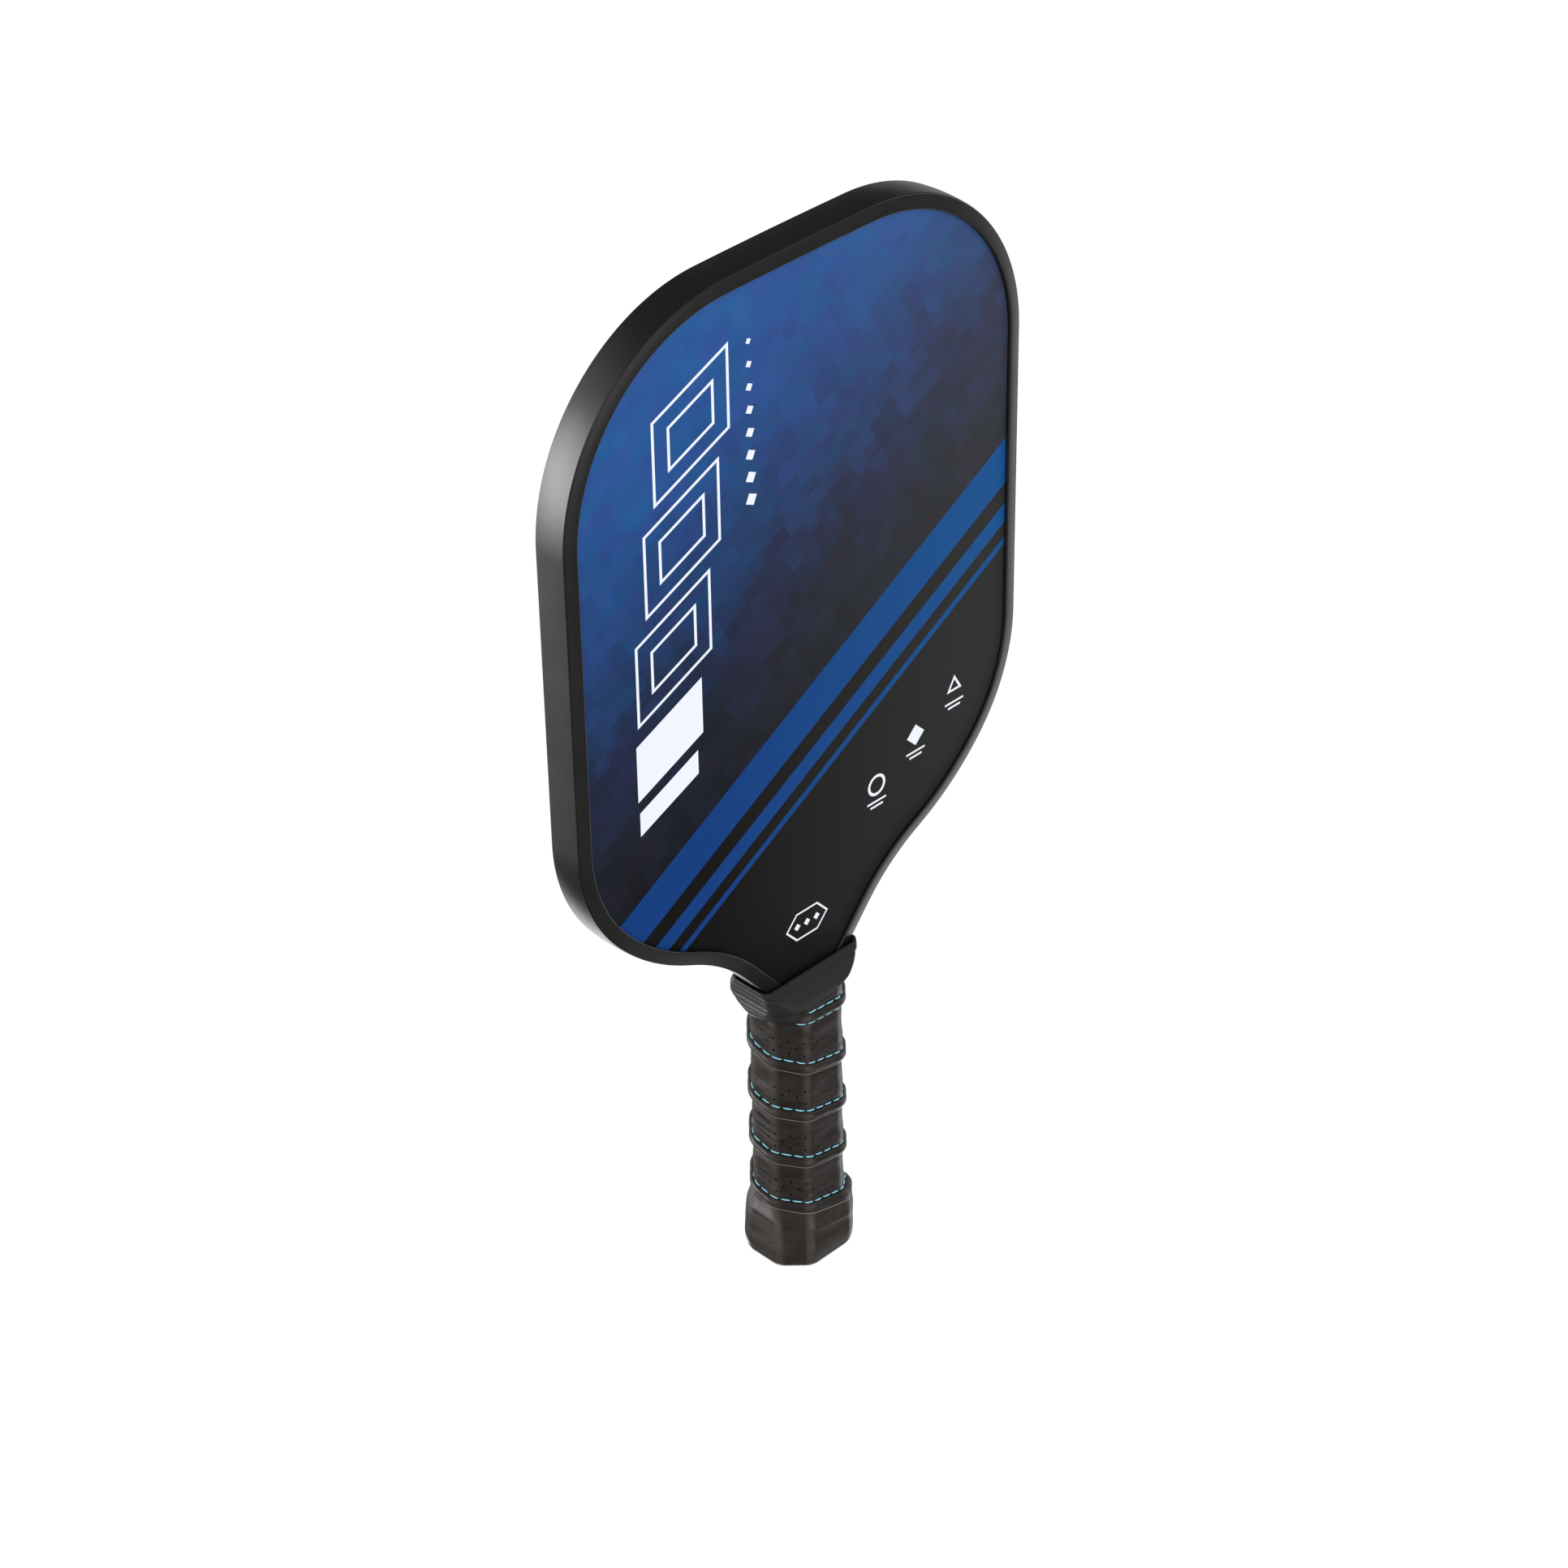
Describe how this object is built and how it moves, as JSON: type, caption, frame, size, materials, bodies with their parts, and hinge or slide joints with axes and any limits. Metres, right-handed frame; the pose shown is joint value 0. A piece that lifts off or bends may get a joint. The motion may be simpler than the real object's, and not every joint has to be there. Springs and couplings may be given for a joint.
{
  "type": "pickleball paddle",
  "caption": "Flat sandwich paddle with a rounded-rectangle face, soft edge guard and ribbed, stitched eight-sided grip; for striking a light plastic ball.",
  "frame": {"origin": "centre of the butt end: the middle of the bounding box in X and Y, at its lowest Z, where the wrapped butt would stand on a table", "axes": "+Z runs from the butt up the handle to the top of the blade, +X across the blade's width, and -Y is the direction that the front face looks"},
  "size_m": [0.203, 0.0342, 0.4],
  "materials": {
    "core": "translucent milky polypropylene, cut edges",
    "fleece": "thin white bonding fleece, soaked with resin",
    "face": "satin printed glass-fibre sheet, fine grain, blue fading to black",
    "guard": "satin black soft plastic extrusion, faint handling scuffs",
    "adhesive": "clear set adhesive",
    "handle_core": "dark structural foam with a skin, cut by a mould line",
    "mounting_tape": "thin double-sided tape",
    "cap": "fine-textured black moulding",
    "staple": "zinc-plated flat wire",
    "under_tape": "thin double-sided tape",
    "cushion": "soft closed-cell cushion",
    "grip": "black perforated synthetic leather, satin, finely grained and creased",
    "rib_cord": "soft round cord",
    "thread": "light blue sewing thread, twisted",
    "collar": "black rubber, satin, slightly stretched and folded"
  },
  "bodies": {
    "root": {"honeycomb_core": "core", "front_fleece": "fleece", "back_fleece": "fleece", "front_face": "face", "back_face": "face", "edge_guard": "guard", "edge_adhesive": "adhesive", "handle_front_half": "handle_core", "handle_back_half": "handle_core", "mounting_tapes": "mounting_tape", "butt_cap": "cap", "cap_staples": "staple", "grip_under_tape": "under_tape", "grip_cushion": "cushion", "grip_skin": "grip", "rib_cord": "rib_cord", "rib_cover": "grip", "rib_stitching": "thread", "collar": "collar"}
  },
  "joints": []
}
